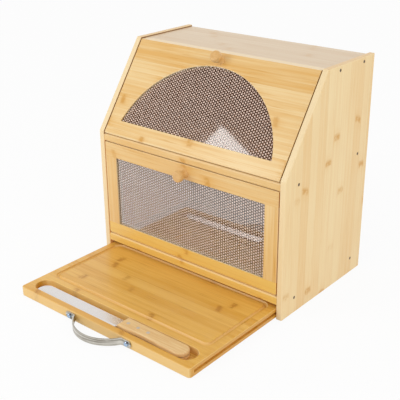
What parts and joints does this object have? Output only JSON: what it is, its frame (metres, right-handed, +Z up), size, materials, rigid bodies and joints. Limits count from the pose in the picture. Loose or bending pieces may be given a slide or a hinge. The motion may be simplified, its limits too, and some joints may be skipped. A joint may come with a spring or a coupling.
{
  "type": "bread box",
  "caption": "Sloped bamboo bread box: hinged lid and drop-down door with mesh windows, and a pull-out cutting board with a knife and bow handle underneath.",
  "frame": {"origin": "on the floor under the front edges of the side panels, midway between the side panels", "axes": "+X to the right as seen from the front, +Y from the front to the rear, +Z up"},
  "size_m": [0.4, 0.487, 0.3929],
  "materials": {
    "side_bamboo": "satin lacquer over vertical bamboo strips",
    "top_bamboo": "satin lacquer, pale",
    "front_bamboo": "satin lacquer over bamboo strips",
    "board_bamboo": "oiled bamboo",
    "knob_wood": "turned, satin lacquer",
    "knife_wood": "oiled hardwood scales",
    "hidden_wood": "plain hardwood",
    "clear_pane": "clear and glossy",
    "perforated_sheet": "perforated, satin",
    "strap_steel": "brushed lengthwise",
    "zinc_screw": "bright zinc plate",
    "bronze_screw": "dark bronze coating",
    "blade_steel": "polished and serrated",
    "rivet_steel": "ground flush",
    "plain_steel": "bright drawn",
    "nickel": "nickel plate"
  },
  "bodies": {
    "cabinet": {"left_side": "side_bamboo", "right_side": "side_bamboo", "top_board": "top_bamboo", "middle_shelf": "front_bamboo", "bottom_shelf": "front_bamboo", "middle_rail": "front_bamboo", "bottom_rail": "front_bamboo", "back_panel": "side_bamboo", "back_screws": "bronze_screw", "left_screws": "bronze_screw", "right_screws": "bronze_screw", "left_runner": "hidden_wood", "right_runner": "hidden_wood", "lid_pins": "plain_steel", "door_pins": "plain_steel", "lid_magnets": "nickel", "door_stop_blocks": "hidden_wood", "door_magnets": "nickel"},
    "lid": {"lid_panel": "front_bamboo", "lid_pane": "clear_pane", "lid_mesh": "perforated_sheet", "lid_retainer": "hidden_wood", "lid_retainer_screws": "zinc_screw", "lid_knob": "knob_wood", "lid_knob_screw": "zinc_screw", "lid_strikes": "plain_steel"},
    "door": {"door_top_rail": "front_bamboo", "door_foot_rail": "front_bamboo", "door_left_stile": "front_bamboo", "door_right_stile": "front_bamboo", "door_pane": "clear_pane", "door_mesh": "perforated_sheet", "door_retainer": "hidden_wood", "door_retainer_screws": "zinc_screw", "door_knob": "knob_wood", "door_knob_screw": "zinc_screw", "door_strikes": "plain_steel"},
    "board": {"cutting_board": "board_bamboo", "handle_bow": "strap_steel", "handle_screws": "zinc_screw", "knife_blade": "blade_steel", "knife_upper_scale": "knife_wood", "knife_lower_scale": "knife_wood", "knife_rivets": "rivet_steel"}
  },
  "joints": [
    {"name": "lid_hinge", "type": "hinge", "parent": "cabinet", "child": "lid", "pos_m": [0, 0.00551, 0.2396], "axis": [1, 0, 0], "range_deg": [0, 120]},
    {"name": "door_hinge", "type": "hinge", "parent": "cabinet", "child": "door", "pos_m": [0, 0.0056, 0.045], "axis": [1, 0, 0], "range_deg": [0, 88]},
    {"name": "board_slide", "type": "slide", "parent": "cabinet", "child": "board", "axis": [0, -1, 0], "range_m": [-0.21, 0.008]}
  ]
}
